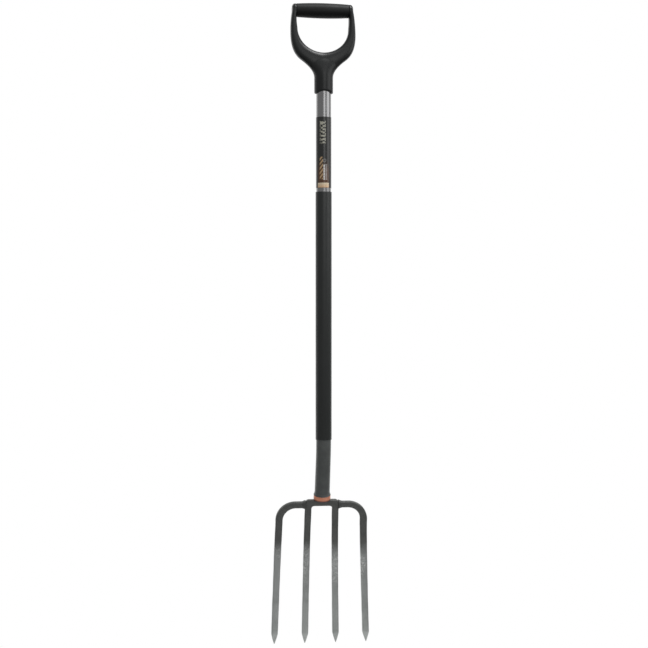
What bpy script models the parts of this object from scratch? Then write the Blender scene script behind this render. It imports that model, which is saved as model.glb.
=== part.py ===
"""Long-shafted digging fork: D-handle, steel tube shaft with a plastic sleeve, and a welded four-tine head.

Each piece is laid out as if the tool were dead straight, by three numbers: x across the tool, depth towards
its back, and station, the height along the tool. place() then bends that layout to the tool's side view: the
handle leans back, and the neck runs back before the tines sweep forward again. The world origin is the point
under the grip where the tool hangs on a hook.
"""

import math

import bmesh
import bpy
import numpy as np

MM = 0.001
GAP = 0.3 * MM

# Side view, by station along the tool: where it bends, and by how much.
HANDLE_BEND = (1085 * MM, 1115 * MM)
HANDLE_LEAN = math.radians(11)
NECK_BEND = (349 * MM, 385 * MM)
NECK_BEND_RINGS = 7
NECK_LEAN = math.radians(15)
TINE_ROOT = 254 * MM
TIP_STATION = -18.5 * MM
TIP_LEAN = math.radians(1)
TINE_SWEEP_POWER = 2.2
SPINE_TOP = 1260 * MM
SPINE_STEP = 0.5 * MM

# How finely round shapes are divided.
ROUND_SIDES = 32
SECTION_SIDES = 16
EDGE_STEPS = 3
SMOOTH_ANGLE = math.radians(35)
BEAD_SMOOTH_ANGLE = math.radians(50)

# Shaft.
TUBE_RADIUS = 14.0 * MM
TUBE_WALL = 1.5 * MM
TUBE_TOP = 1070 * MM
TUBE_END = 275.6 * MM
NECK_RADIUS = 14.4 * MM
FLARE_RADIUS = 16.3 * MM
FLARE_LENGTH = 8 * MM
FLARE_RINGS = 4
SLEEVE_SPAN = (385.5 * MM, 852.3 * MM)
SLEEVE_RADIUS = 15.15 * MM
SLEEVE_EDGE = 0.6 * MM
LABEL_SPAN = (859.5 * MM, 992 * MM)
LABEL_THICKNESS = 0.25 * MM
LABEL_SEAM = math.radians(7)
TOOL_BACK = math.radians(90)

# Grip barrel and the bar through it.
GRIP_STATION = 1197.3 * MM
GRIP_RADIUS = 14.2 * MM
GRIP_END_RADIUS = 12.6 * MM
GRIP_HALF_LENGTH = 49.5 * MM
GRIP_EDGE = 1.2 * MM
GRIP_RINGS = 7
GRIP_SIDES = 28
CORE_RADIUS = 7 * MM
CORE_HALF_LENGTH = 52.5 * MM

# Collar of the handle, round the top of the tube.
COLLAR_RADIUS = 17.65 * MM
COLLAR_RIM = 1036 * MM
COLLAR_RIM_RISE = 5.3 * MM
COLLAR_RIM_ROUND = 2.6 * MM
COLLAR_FADE = 14.6 * MM
COLLAR_SHOULDER = 1072 * MM
COLLAR_DOME = 36 * MM
DOME_TOP_ANGLE = math.radians(72)
DOME_RINGS = 6
BORE_START = 1031 * MM

# Arms of the handle. Each knot of the outer edge is x, station and heading.
# The pulls shape the curves between the knots.
EAR_RADIUS = 12.9 * MM
EAR_CORNER = 4.5 * MM
EAR_TIP_HALF_DEPTH = 2.6 * MM
ARM_EAR = (57.9 * MM, GRIP_STATION, math.radians(-80.5))
ARM_BULGE = (61.7 * MM, 1152 * MM, math.radians(-90))
ARM_WAIST = (42.2 * MM, 1099.6 * MM, math.radians(-142.6))
ARM_FOOT = (COLLAR_RADIUS, 1066.5 * MM, math.radians(-90))
ARM_PULLS = {"side": (12.2 * MM, 20 * MM), "bulge": (27 * MM, 16 * MM), "foot": (14 * MM, 13 * MM)}
ARM_STEPS = {"ear": 4, "side": 5, "bulge": 6, "foot": 5}
ARM_HALF_DEPTH = 10 * MM
ARM_LOW_HALF_DEPTH = 11 * MM
JUNCTION_HALF_DEPTH = 15.5 * MM
ARM_SQUARENESS = 2.6
OPENING_BOTTOM = 1113.6 * MM
OPENING_MIDDLE = 1162 * MM
OPENING_HALF_WIDTH = 48.2 * MM
OPENING_EASE = 3
OPENING_TURNS = {"bulge": (0, math.radians(60)), "foot": (math.radians(60), math.radians(100))}

# Screw that holds the collar to the tube, from the back. Depths are from the tube's centreline.
SCREW_STATION = 1058 * MM
SCREW_SHANK_RADIUS = 2 * MM
SCREW_POINT_RADIUS = 0.6 * MM
SCREW_HEAD_RADIUS = 4 * MM
SCREW_CROWN_RADIUS = 2.8 * MM
SCREW_TIP = 9 * MM
SCREW_HEAD_SEAT = 15.4 * MM
SCREW_CROWN = 17.45 * MM
SCREW_CROWN_EDGE = 0.9 * MM
SCREW_HOLE = (11 * MM, 20 * MM)

# Crosspiece and tines.
BAR_HALF_DEPTH = 4.7 * MM
BAR_CORNER = 2.2 * MM
MAX_CORNER_SHARE = 0.8
CROSS_TOP = 265.1 * MM
CROSS_HEIGHT = 12.4 * MM
OUTER_CROSS_TOP = 261 * MM
OUTER_CROSS_HEIGHT = 12.1 * MM
INNER_TINE_X = (26.1 * MM, 30 * MM)
INNER_TINE_WIDTH = (12.4 * MM, 12.4 * MM)
BOW_OUTER_CORNER = 7.5 * MM
BOW_INNER_CORNER = 5.5 * MM
BOW_ROOT_DROP = 11 * MM
BOW_CORNER_STEPS = 4
OUTER_TINE_X = (81.4 * MM, 89.2 * MM)
OUTER_TINE_WIDTH = (13.6 * MM, 12.5 * MM)
OUTER_BEND_RADIUS = 31 * MM
OUTER_BEND_STEPS = 8
OUTER_ROOT_DROP = 6 * MM
WELD_BEVEL = 0.6 * MM
WELD_BEVEL_LENGTH = 5 * MM
TINE_STEPS = 8
TINE_THINNING = 0.12
TIP_LENGTH = 20 * MM
TIP_SIZE = 0.9 * MM
TIP_POWER = 1.25
TIP_STEPS = 3

# Joints of the head.
TANG_RADIUS = 12.2 * MM
TANG_TOP = 342 * MM
TANG_CHAMFER = 2 * MM
RING_RADIUS = 16.1 * MM
RING_TOP_EDGE = 0.9 * MM
RING_LOW_EDGE = 2.2 * MM
WELD_SWELL = 1.3 * MM
WELD_LENGTH = 4.5 * MM
WELD_CREST = (2.25 * MM, 1.1 * MM)
WELD_TOE = 0.4 * MM
TANG_WELD_LEG = 3.2 * MM
TANG_WELD_BULGE = 2.3 * MM
TANG_WELD_HALF_LENGTH = 9 * MM
TANG_WELD_TAPER = 1.8 * MM
TANG_WELD_END_SIZE = 0.55


def lean(station):
    """Angle of the tool's downward direction from straight down, positive towards its back."""
    handle = np.clip((station - HANDLE_BEND[0]) / (HANDLE_BEND[1] - HANDLE_BEND[0]), 0, 1)
    neck = np.clip((NECK_BEND[1] - station) / (NECK_BEND[1] - NECK_BEND[0]), 0, 1)
    along_tine = np.clip((TINE_ROOT - station) / (TINE_ROOT - TIP_STATION), 0, 1)
    swept = (NECK_LEAN - TIP_LEAN) * (1 - (1 - along_tine) ** TINE_SWEEP_POWER)
    return neck * NECK_LEAN - swept - handle * HANDLE_LEAN


def spine_curve():
    """Stations from low to high with the tool's centreline there, as y and z, upright along the shaft."""
    stations = np.arange(TIP_STATION - SPINE_STEP, SPINE_TOP, SPINE_STEP)
    middle = lean(stations[:-1] + SPINE_STEP / 2)
    y = np.concatenate([[0], np.cumsum(-np.sin(middle) * SPINE_STEP)])
    z = np.concatenate([[0], np.cumsum(np.cos(middle) * SPINE_STEP)])
    shaft = np.searchsorted(stations, sum(SLEEVE_SPAN) / 2)
    return stations, y - y[shaft], z - z[shaft] + stations[shaft]


SPINE = spine_curve()


def place(x, depth, station):
    """The straight layout's point on the bent tool."""
    stations, spine_y, spine_z = SPINE
    angle = lean(station)
    y = np.interp(station, stations, spine_y) + depth * np.cos(angle)
    z = np.interp(station, stations, spine_z) + depth * np.sin(angle)
    return (x, y, z)


def clear_scene():
    for obj in list(bpy.data.objects):
        bpy.data.objects.remove(obj)


def tool_frame():
    """The empty that every piece hangs from, placed so that the hanging point is the world origin."""
    frame = bpy.data.objects.new("tool_frame", None)
    bpy.context.scene.collection.objects.link(frame)
    grip_x, grip_y, grip_z = place(0, 0, GRIP_STATION)
    frame.location = (grip_x, -grip_y, GRIP_RADIUS - grip_z)
    return frame


def material(name, colour, roughness, metallic):
    made = bpy.data.materials.new(name)
    made.use_nodes = True
    shader = made.node_tree.nodes["Principled BSDF"]
    shader.inputs["Base Color"].default_value = (*colour, 1)
    shader.inputs["Roughness"].default_value = roughness
    shader.inputs["Metallic"].default_value = metallic
    return made


def skin(name, rings, frame, look=None, loop=False, smooth_angle=SMOOTH_ANGLE):
    """A closed solid over rings of points. loop joins the last ring to the first in place of end faces."""
    shape = bmesh.new()
    verts = [[shape.verts.new(point) for point in ring] for ring in rings]
    nexts = verts[1:] + verts[:1] if loop else verts[1:]
    for low, high in zip(verts, nexts):
        for i in range(len(low)):
            shape.faces.new((low[i - 1], low[i], high[i], high[i - 1]))
    if not loop:
        shape.faces.new(verts[0])
        shape.faces.new(verts[-1])
    bmesh.ops.recalc_face_normals(shape, faces=shape.faces)
    mesh = bpy.data.meshes.new(name)
    shape.to_mesh(mesh)
    shape.free()
    mesh.shade_smooth()
    mesh.set_sharp_from_angle(angle=smooth_angle)
    if look:
        mesh.materials.append(look)
    obj = bpy.data.objects.new(name, mesh)
    bpy.context.scene.collection.objects.link(obj)
    obj.parent = frame
    return obj


def combine(obj, other, operation):
    """Joins other to obj, or cuts it away, and leaves other in the scene as a hidden helper."""
    modifier = obj.modifiers.new(f"{operation.lower()}_{other.name}", "BOOLEAN")
    modifier.operation = operation
    modifier.object = other
    modifier.solver = "EXACT"
    other.hide_render = True
    other.display_type = "WIRE"


def circle_angles(sides):
    return 2 * math.pi * np.arange(sides) / sides


def turned(profile, angles):
    """A copy of the (radius, station) profile at each angle about the tool's centreline."""
    return [
        [place(radius * math.cos(angle), radius * math.sin(angle), station) for radius, station in profile]
        for angle in angles
    ]


def level_rings(profile):
    """Level rings of a solid turned about the tool's centreline, one for each (radius, station)."""
    angles = circle_angles(ROUND_SIDES)
    return [
        [place(radius * math.cos(angle), radius * math.sin(angle), station) for angle in angles]
        for radius, station in profile
    ]


def cross_rings(profile, station, sides):
    """Rings of a solid turned about a line across the tool, one for each (radius, x)."""
    angles = circle_angles(sides)
    return [
        [place(x, radius * math.cos(angle), station + radius * math.sin(angle)) for angle in angles]
        for radius, x in profile
    ]


def screw_rings(profile):
    """Rings of a solid turned about the screw's front-to-back axis, one for each (radius, depth)."""
    angles = circle_angles(SECTION_SIDES)
    return [
        [place(radius * math.cos(angle), depth, SCREW_STATION + radius * math.sin(angle)) for angle in angles]
        for radius, depth in profile
    ]


def mirrored(rings):
    return [[(-x, y, z) for x, y, z in ring] for ring in rings]


def heading(angle):
    return np.array([math.cos(angle), math.sin(angle)])


def arc_point(centre, radius, angle):
    return np.array(centre) + radius * heading(angle)


def curve_between(start, end, pulls, t):
    """Point t of the way along a Bezier curve between two knots, each an x, a station and a heading."""
    first, last = np.array(start[:2]), np.array(end[:2])
    pull_a = first + pulls[0] * heading(start[2])
    pull_b = last - pulls[1] * heading(end[2])
    left = 1 - t
    return left**3 * first + 3 * left**2 * t * pull_a + 3 * left * t**2 * pull_b + t**3 * last


def rounded_edge(radius, edge, station, direction):
    """Profile points that round a tube's outer edge and end on its end face, which is at station."""
    centre = (radius - edge, station - direction * edge)
    angles = np.linspace(0, math.pi / 2, EDGE_STEPS)
    return [(centre[0] + edge * math.cos(a), centre[1] + direction * edge * math.sin(a)) for a in angles]


def sleeve_profile(bore, radius, low, high, low_edge, high_edge):
    """A tube's wall in section, with its two outer edges rounded."""
    top = [*reversed(rounded_edge(radius, high_edge, high, 1))]
    return [(bore, high), *top, *rounded_edge(radius, low_edge, low, -1), (bore, low)]


def bar_section(inner, outer, half_depth, corner):
    """A rounded rectangle that runs from the inner to the outer contour point, half_depth each way."""
    inner, outer = np.array(inner), np.array(outer)
    half_width = float(np.linalg.norm(outer - inner)) / 2
    along = (outer - inner) / (2 * half_width)
    corner = min(corner, MAX_CORNER_SHARE * half_width, MAX_CORNER_SHARE * half_depth)
    ring = []
    for quarter, (side_u, side_v) in enumerate([(1, 1), (-1, 1), (-1, -1), (1, -1)]):
        for turn in np.linspace(0, math.pi / 2, EDGE_STEPS):
            angle = quarter * math.pi / 2 + turn
            u = side_u * (half_width - corner) + corner * math.cos(angle)
            v = side_v * (half_depth - corner) + corner * math.sin(angle)
            x, station = (inner + outer) / 2 + along * u
            ring.append(place(x, v, station))
    return ring


def rounded_power(value):
    return math.copysign(abs(value) ** (2 / ARM_SQUARENESS), value)


def arm_section(inner, outer, half_depth):
    """A superellipse that runs from the inner to the outer contour point."""
    inner, outer = np.array(inner), np.array(outer)
    ring = []
    for angle in circle_angles(SECTION_SIDES):
        x, station = (inner + outer) / 2 + (outer - inner) / 2 * rounded_power(math.cos(angle))
        ring.append(place(x, half_depth * rounded_power(math.sin(angle)), station))
    return ring


def inner_contour(part, t):
    """The arm's edge on the hand opening: down its straight side, then round the opening's lower half."""
    ear_x = GRIP_HALF_LENGTH + GAP
    if part == "ear":
        return (ear_x, GRIP_STATION + EAR_RADIUS * (1 - t))
    if part == "side":
        x = ear_x + t**OPENING_EASE * (OPENING_HALF_WIDTH - ear_x)
        return (x, GRIP_STATION + t * (OPENING_MIDDLE - GRIP_STATION))
    start, end = OPENING_TURNS[part]
    across, down = heading(start + t * (end - start))
    return (OPENING_HALF_WIDTH * across, OPENING_MIDDLE - (OPENING_MIDDLE - OPENING_BOTTOM) * down)


def outer_contour(part, t):
    """The arm's outer edge: the ear's rounded corner, the swelling side, and the curve to the collar."""
    if part == "ear":
        rise, turn = heading(t * math.pi / 2)
        return (ARM_EAR[0] - EAR_CORNER * (1 - turn), GRIP_STATION + EAR_RADIUS * rise)
    ends = {"side": (ARM_EAR, ARM_BULGE), "bulge": (ARM_BULGE, ARM_WAIST), "foot": (ARM_WAIST, ARM_FOOT)}
    return curve_between(*ends[part], ARM_PULLS[part], t)


def arm_half_depth(part, t):
    if part == "ear":
        return max(EAR_RADIUS * math.sqrt(1 - (1 - t) ** 2), EAR_TIP_HALF_DEPTH)
    ends = {
        "side": (EAR_RADIUS, ARM_HALF_DEPTH),
        "bulge": (ARM_HALF_DEPTH, ARM_LOW_HALF_DEPTH),
        "foot": (ARM_LOW_HALF_DEPTH, JUNCTION_HALF_DEPTH),
    }
    ease = t * t * (3 - 2 * t)
    return ends[part][0] + (ends[part][1] - ends[part][0]) * ease


def arm_rings():
    """The right arm from the top of its ear to past the tool's middle, where it meets the other arm."""
    rings = []
    for part, steps in ARM_STEPS.items():
        last = steps + 1 if part == "foot" else steps
        for t in np.arange(last) / steps:
            rings.append(arm_section(inner_contour(part, t), outer_contour(part, t), arm_half_depth(part, t)))
    return rings


def rim_ring(radius, height, arch):
    """A ring of the collar's lower rim, which arches up at the front and the back."""
    ring = []
    for angle in circle_angles(ROUND_SIDES):
        rise = arch * COLLAR_RIM_RISE * math.sin(angle) ** 2
        ring.append(place(radius * math.cos(angle), radius * math.sin(angle), COLLAR_RIM + height + rise))
    return ring


def collar_rings():
    rings = []
    for turn in np.linspace(0, math.pi / 2, EDGE_STEPS):
        across, up = COLLAR_RIM_ROUND * (1 - math.sin(turn)), COLLAR_RIM_ROUND * (1 - math.cos(turn))
        rings.append(rim_ring(COLLAR_RADIUS - across, up, 1))
    rings.append(rim_ring(COLLAR_RADIUS, COLLAR_FADE, 1 / 2))
    dome = []
    for angle in np.linspace(0, DOME_TOP_ANGLE, DOME_RINGS):
        dome.append((COLLAR_RADIUS * math.cos(angle), COLLAR_SHOULDER + COLLAR_DOME * math.sin(angle)))
    return rings + level_rings(dome)


def handle_frame(frame, look):
    """Two arms, a collar and the grip's core bar, moulded as one, with a bore for the tube."""
    arm = arm_rings()
    handle = skin("handle_frame", arm, frame, look)
    combine(handle, skin("handle_arm_left", mirrored(arm), frame), "UNION")
    combine(handle, skin("handle_collar", collar_rings(), frame), "UNION")
    core = [(CORE_RADIUS, -CORE_HALF_LENGTH), (CORE_RADIUS, CORE_HALF_LENGTH)]
    combine(handle, skin("handle_core", cross_rings(core, GRIP_STATION, SECTION_SIDES), frame), "UNION")
    bore = [(TUBE_RADIUS + GAP, BORE_START), (TUBE_RADIUS + GAP, TUBE_TOP + GAP)]
    combine(handle, skin("handle_bore", level_rings(bore), frame), "DIFFERENCE")
    shank, seat = SCREW_SHANK_RADIUS + GAP, SCREW_HEAD_SEAT - GAP
    head = SCREW_HEAD_RADIUS + GAP
    hole = [(shank, SCREW_HOLE[0]), (shank, seat), (head, seat), (head, SCREW_HOLE[1])]
    combine(handle, skin("handle_screw_seat", screw_rings(hole), frame), "DIFFERENCE")
    return handle


def handle_screw(frame, look):
    profile = [(SCREW_POINT_RADIUS, SCREW_TIP), (SCREW_SHANK_RADIUS, SCREW_TIP + SCREW_SHANK_RADIUS)]
    profile += [(SCREW_SHANK_RADIUS, SCREW_HEAD_SEAT), (SCREW_HEAD_RADIUS, SCREW_HEAD_SEAT)]
    profile += [(SCREW_HEAD_RADIUS, SCREW_CROWN - SCREW_CROWN_EDGE), (SCREW_CROWN_RADIUS, SCREW_CROWN)]
    return skin("handle_screw", screw_rings(profile), frame, look)


def grip_profile():
    """The barrel in section, as (radius, x): rounded ends, thickest at its middle, and a bore."""
    straight = GRIP_HALF_LENGTH - GRIP_EDGE
    end = rounded_edge(GRIP_END_RADIUS, GRIP_EDGE, GRIP_HALF_LENGTH, 1)
    profile = [*reversed(end)]
    for x in np.linspace(straight, -straight, GRIP_RINGS)[1:-1]:
        profile.append((GRIP_RADIUS - (GRIP_RADIUS - GRIP_END_RADIUS) * (x / straight) ** 2, x))
    profile += [(radius, -x) for radius, x in end]
    bore = CORE_RADIUS + GAP
    return profile + [(bore, -GRIP_HALF_LENGTH), (bore, GRIP_HALF_LENGTH)]


def grip_sleeve(frame, look):
    rings = zip(*cross_rings(grip_profile(), GRIP_STATION, GRIP_SIDES))
    return skin("grip_sleeve", list(rings), frame, look, loop=True)


def shaft_tube(frame, look):
    """The painted tube: straight from the handle, bent back at the neck, and flared where it ends."""
    bend = np.linspace(NECK_BEND[1], NECK_BEND[0], NECK_BEND_RINGS)
    outside = [(TUBE_RADIUS, station) for station in (TUBE_TOP, *bend)]
    for t in np.linspace(0, 1, FLARE_RINGS):
        radius = NECK_RADIUS + (FLARE_RADIUS - NECK_RADIUS) * t**2
        outside.append((radius, TUBE_END + FLARE_LENGTH * (1 - t)))
    bore = TUBE_RADIUS - TUBE_WALL
    inside = [(bore, station) for station in (TUBE_END, *reversed(bend), TUBE_TOP)]
    tube = skin("shaft_tube", turned(outside + inside, circle_angles(ROUND_SIDES)), frame, look, loop=True)
    hole = [(SCREW_SHANK_RADIUS + GAP, depth) for depth in SCREW_HOLE]
    combine(tube, skin("tube_screw_hole", screw_rings(hole), frame), "DIFFERENCE")
    return tube


def shaft_sleeve(frame, look):
    profile = sleeve_profile(TUBE_RADIUS + GAP, SLEEVE_RADIUS, *SLEEVE_SPAN, SLEEVE_EDGE, SLEEVE_EDGE)
    return skin("shaft_sleeve", turned(profile, circle_angles(ROUND_SIDES)), frame, look, loop=True)


def label_wrap(frame, look):
    """The printed film, whose two ends leave a narrow seam at the tool's back."""
    inner = TUBE_RADIUS + GAP
    outer = inner + LABEL_THICKNESS
    low, high = LABEL_SPAN
    profile = [(inner, high), (outer, high), (outer, low), (inner, low)]
    start = TOOL_BACK + LABEL_SEAM / 2
    angles = np.linspace(start, start + 2 * math.pi - LABEL_SEAM, ROUND_SIDES + 1)
    return skin("label_wrap", turned(profile, angles), frame, look)


def joint_ring(frame, look):
    low, high = CROSS_TOP + GAP, TUBE_END - GAP
    profile = sleeve_profile(TANG_RADIUS + GAP, RING_RADIUS, low, high, RING_LOW_EDGE, RING_TOP_EDGE)
    return skin("joint_ring", turned(profile, circle_angles(ROUND_SIDES)), frame, look, loop=True)


def head_tang(frame, look):
    """The stub that stands on the crosspiece and fills the tube's lower end."""
    profile = [(TANG_RADIUS, CROSS_TOP + GAP), (TANG_RADIUS, TANG_TOP - TANG_CHAMFER)]
    profile += [(TANG_RADIUS - TANG_CHAMFER, TANG_TOP)]
    return skin("head_tang", level_rings(profile), frame, look)


def tine_sections(x_pair, width_pair, root):
    """Sections of a tine from root to point. Each pair holds the value at the root and at the point."""
    shoulder = TIP_STATION + TIP_LENGTH
    sizes = [(station, 1) for station in np.linspace(root, shoulder, TINE_STEPS + 1)]
    for t in np.linspace(0, 1, TIP_STEPS + 1)[1:]:
        sizes.append((shoulder - t * TIP_LENGTH, 1 - (1 - TIP_SIZE / width_pair[1]) * t**TIP_POWER))
    sections = []
    for station, size in sizes:
        down = (root - station) / (root - TIP_STATION)
        x = x_pair[0] + down * (x_pair[1] - x_pair[0])
        half = size * (width_pair[0] + down * (width_pair[1] - width_pair[0])) / 2
        half_depth = size * BAR_HALF_DEPTH * (1 - TINE_THINNING * down)
        sections.append(((x - half, station), (x + half, station), half_depth))
    return sections


def bow_sections():
    """Half of the inner bow: the middle of the crosspiece, its forged corner, and one inner tine."""
    half_width = INNER_TINE_WIDTH[0] / 2
    inner_x, outer_x = INNER_TINE_X[0] - half_width, INNER_TINE_X[0] + half_width
    underside = CROSS_TOP - CROSS_HEIGHT
    inner_centre = (inner_x - BOW_INNER_CORNER, underside - BOW_INNER_CORNER)
    outer_centre = (outer_x - BOW_OUTER_CORNER, CROSS_TOP - BOW_OUTER_CORNER)
    sections = [((0, underside), (0, CROSS_TOP), BAR_HALF_DEPTH)]
    for angle in np.linspace(math.pi / 2, 0, BOW_CORNER_STEPS + 1):
        inner = arc_point(inner_centre, BOW_INNER_CORNER, angle)
        outer = arc_point(outer_centre, BOW_OUTER_CORNER, angle)
        sections.append((inner, outer, BAR_HALF_DEPTH))
    return sections + tine_sections(INNER_TINE_X, INNER_TINE_WIDTH, underside - BOW_ROOT_DROP)


def weld_start():
    """x where the outer bar's end faces the inner bow."""
    return INNER_TINE_X[0] + INNER_TINE_WIDTH[0] / 2 + GAP


def outer_bar_start():
    """The outer bar's end, bevelled for its weld, and the point where it reaches its full size."""
    middle = OUTER_CROSS_TOP - OUTER_CROSS_HEIGHT / 2
    sections = []
    for along, bevel in ((0, WELD_BEVEL), (WELD_BEVEL_LENGTH, 0)):
        x, half = weld_start() + along, OUTER_CROSS_HEIGHT / 2 - bevel
        sections.append(((x, middle - half), (x, middle + half), BAR_HALF_DEPTH - bevel))
    return sections


def outer_sections():
    """One outer tine: its arm of the crosspiece from the weld, the bend, and the tine."""
    middle = OUTER_CROSS_TOP - OUTER_CROSS_HEIGHT / 2
    centre = (OUTER_TINE_X[0] - OUTER_BEND_RADIUS, middle - OUTER_BEND_RADIUS)
    sections = outer_bar_start()
    for t in np.linspace(0, 1, OUTER_BEND_STEPS + 1):
        angle = (1 - t) * math.pi / 2
        half = (OUTER_CROSS_HEIGHT + t * (OUTER_TINE_WIDTH[0] - OUTER_CROSS_HEIGHT)) / 2
        inner = arc_point(centre, OUTER_BEND_RADIUS - half, angle)
        outer = arc_point(centre, OUTER_BEND_RADIUS + half, angle)
        sections.append((inner, outer, BAR_HALF_DEPTH))
    return sections + tine_sections(OUTER_TINE_X, OUTER_TINE_WIDTH, centre[1] - OUTER_ROOT_DROP)


def section_rings(sections):
    return [bar_section(inner, outer, half_depth, BAR_CORNER) for inner, outer, half_depth in sections]


def on_side(rings, side):
    return rings if side > 0 else mirrored(rings)


def inner_tine_bow(frame, look):
    right = section_rings(bow_sections())
    left = mirrored(reversed(right[1:]))
    return skin("inner_tine_bow", left + right, frame, look)


def outer_tine(name, side, frame, look):
    return skin(name, on_side(section_rings(outer_sections()), side), frame, look)


def tine_weld(name, side, frame, look):
    """A bead round the outer bar, where it butts against the inner bow."""
    middle = OUTER_CROSS_TOP - OUTER_CROSS_HEIGHT / 2
    loops = []
    toe = [(WELD_LENGTH, WELD_TOE), (WELD_LENGTH, GAP)]
    for along, swell in [(0, GAP), (0, WELD_SWELL), WELD_CREST, *toe]:
        x, half = weld_start() + along, OUTER_CROSS_HEIGHT / 2 + swell
        low, high = (x, middle - half), (x, middle + half)
        loops.append(bar_section(low, high, BAR_HALF_DEPTH + swell, BAR_CORNER + swell))
    return skin(name, on_side(loops, side), frame, look, loop=True, smooth_angle=BEAD_SMOOTH_ANGLE)


def tang_weld(name, side, frame, look):
    """A fillet bead in the corner between the tang's underside and the crosspiece's face."""
    face = BAR_HALF_DEPTH + GAP
    half, full = TANG_WELD_HALF_LENGTH, TANG_WELD_HALF_LENGTH - TANG_WELD_TAPER
    rings = []
    for x, size in [(-half, TANG_WELD_END_SIZE), (-full, 1), (full, 1), (half, TANG_WELD_END_SIZE)]:
        leg, bulge = TANG_WELD_LEG * size, TANG_WELD_BULGE * size
        corners = [(0, 0), (leg, 0), (bulge, bulge), (0, leg)]
        rings.append([place(x, side * (face + out), CROSS_TOP - down) for out, down in corners])
    return skin(name, rings, frame, look, smooth_angle=BEAD_SMOOTH_ANGLE)


def build_handle(frame):
    handle_frame(frame, material("handle_plastic", (0.022, 0.023, 0.024), 0.5, 0))
    grip_sleeve(frame, material("grip_rubber", (0.016, 0.017, 0.018), 0.62, 0))


def build_shaft(frame):
    shaft_tube(frame, material("tube_paint", (0.22, 0.22, 0.22), 0.35, 0.7))
    label_wrap(frame, material("label_film", (0.015, 0.015, 0.016), 0.2, 0))
    shaft_sleeve(frame, material("sleeve_plastic", (0.027, 0.03, 0.03), 0.6, 0))
    joint_ring(frame, material("ring_plastic", (0.72, 0.19, 0.05), 0.4, 0))


def build_head(frame):
    coated = material("head_paint", (0.07, 0.075, 0.073), 0.45, 0.3)
    bead = material("weld_steel", (0.075, 0.078, 0.076), 0.55, 0.4)
    inner_tine_bow(frame, coated)
    for side, word in ((-1, "left"), (1, "right")):
        outer_tine(f"outer_tine_{word}", side, frame, coated)
        tine_weld(f"tine_weld_{word}", side, frame, bead)
    for side, word in ((-1, "front"), (1, "back")):
        tang_weld(f"tang_weld_{word}", side, frame, bead)


def main():
    clear_scene()
    frame = tool_frame()
    steel = material("bare_steel", (0.42, 0.42, 0.41), 0.35, 1)
    build_handle(frame)
    build_shaft(frame)
    build_head(frame)
    handle_screw(frame, steel)
    head_tang(frame, steel)


main()
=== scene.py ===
"""Digging fork: fine surfaces, finishes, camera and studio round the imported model.

Every piece is first laid out as if the tool were dead straight, by x across it, depth towards its back and
station along it, and then bent to the tool's side view. That layout stays on each mesh as an attribute, so
that the finishes can follow the piece: round the tube for the print, along the tines for the bare steel.
"""

import math

import bmesh
import bpy
import numpy as np
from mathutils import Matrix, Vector


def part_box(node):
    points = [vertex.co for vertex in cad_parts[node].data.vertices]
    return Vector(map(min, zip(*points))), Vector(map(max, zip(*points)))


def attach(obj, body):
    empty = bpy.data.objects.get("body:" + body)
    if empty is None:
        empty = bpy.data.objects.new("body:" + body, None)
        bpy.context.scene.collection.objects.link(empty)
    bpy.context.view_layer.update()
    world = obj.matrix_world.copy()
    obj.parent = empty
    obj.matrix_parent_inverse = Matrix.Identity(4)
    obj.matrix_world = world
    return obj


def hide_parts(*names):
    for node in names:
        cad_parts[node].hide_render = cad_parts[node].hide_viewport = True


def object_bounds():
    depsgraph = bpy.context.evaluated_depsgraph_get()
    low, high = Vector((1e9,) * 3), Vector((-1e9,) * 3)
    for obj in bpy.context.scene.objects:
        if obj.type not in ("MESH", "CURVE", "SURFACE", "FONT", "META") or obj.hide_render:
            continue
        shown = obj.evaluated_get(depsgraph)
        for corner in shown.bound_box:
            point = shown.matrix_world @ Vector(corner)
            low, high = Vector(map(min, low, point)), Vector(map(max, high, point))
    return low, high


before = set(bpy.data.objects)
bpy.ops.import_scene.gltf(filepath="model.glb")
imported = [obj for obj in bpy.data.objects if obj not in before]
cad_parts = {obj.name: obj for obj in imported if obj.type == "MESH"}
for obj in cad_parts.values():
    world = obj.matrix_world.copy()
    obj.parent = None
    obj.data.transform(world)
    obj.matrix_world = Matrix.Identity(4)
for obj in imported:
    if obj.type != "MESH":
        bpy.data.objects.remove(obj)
cad_low, cad_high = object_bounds()

MM = 0.001
GAP = 0.3 * MM
LAYOUT = "layout"
SMOOTH_ANGLE = math.radians(40)
HANDLE_SMOOTH_ANGLE = math.radians(60)

# Side view, by station along the tool: where it bends, and by how much.
HANDLE_BEND = (1085 * MM, 1115 * MM)
HANDLE_LEAN = math.radians(11)
NECK_BEND = (349 * MM, 385 * MM)
NECK_LEAN = math.radians(15)
TINE_ROOT = 254 * MM
TIP_STATION = -18.5 * MM
TIP_LEAN = math.radians(1)
TINE_SWEEP_POWER = 2.2
SPINE_TOP = 1260 * MM
SPINE_STEP = 0.5 * MM

# Shaft.
ROUND_SIDES = 128
EDGE_STEPS = 8
TUBE_RADIUS = 14.0 * MM
TUBE_WALL = 1.5 * MM
TUBE_TOP = 1070 * MM
TUBE_END = 275.6 * MM
NECK_RADIUS = 14.4 * MM
FLARE_RADIUS = 16.3 * MM
FLARE_LENGTH = 8 * MM
FLARE_LIP = 0.5 * MM
NECK_STEPS = 40
FLARE_STEPS = 16
SLEEVE_SPAN = (385.5 * MM, 852.3 * MM)
SLEEVE_RADIUS = 15.15 * MM
SLEEVE_EDGE = 0.7 * MM
LABEL_SPAN = (859.5 * MM, 992 * MM)
LABEL_THICKNESS = 0.25 * MM
LABEL_SEAM = math.radians(7)
TOOL_BACK = math.radians(90)

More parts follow.
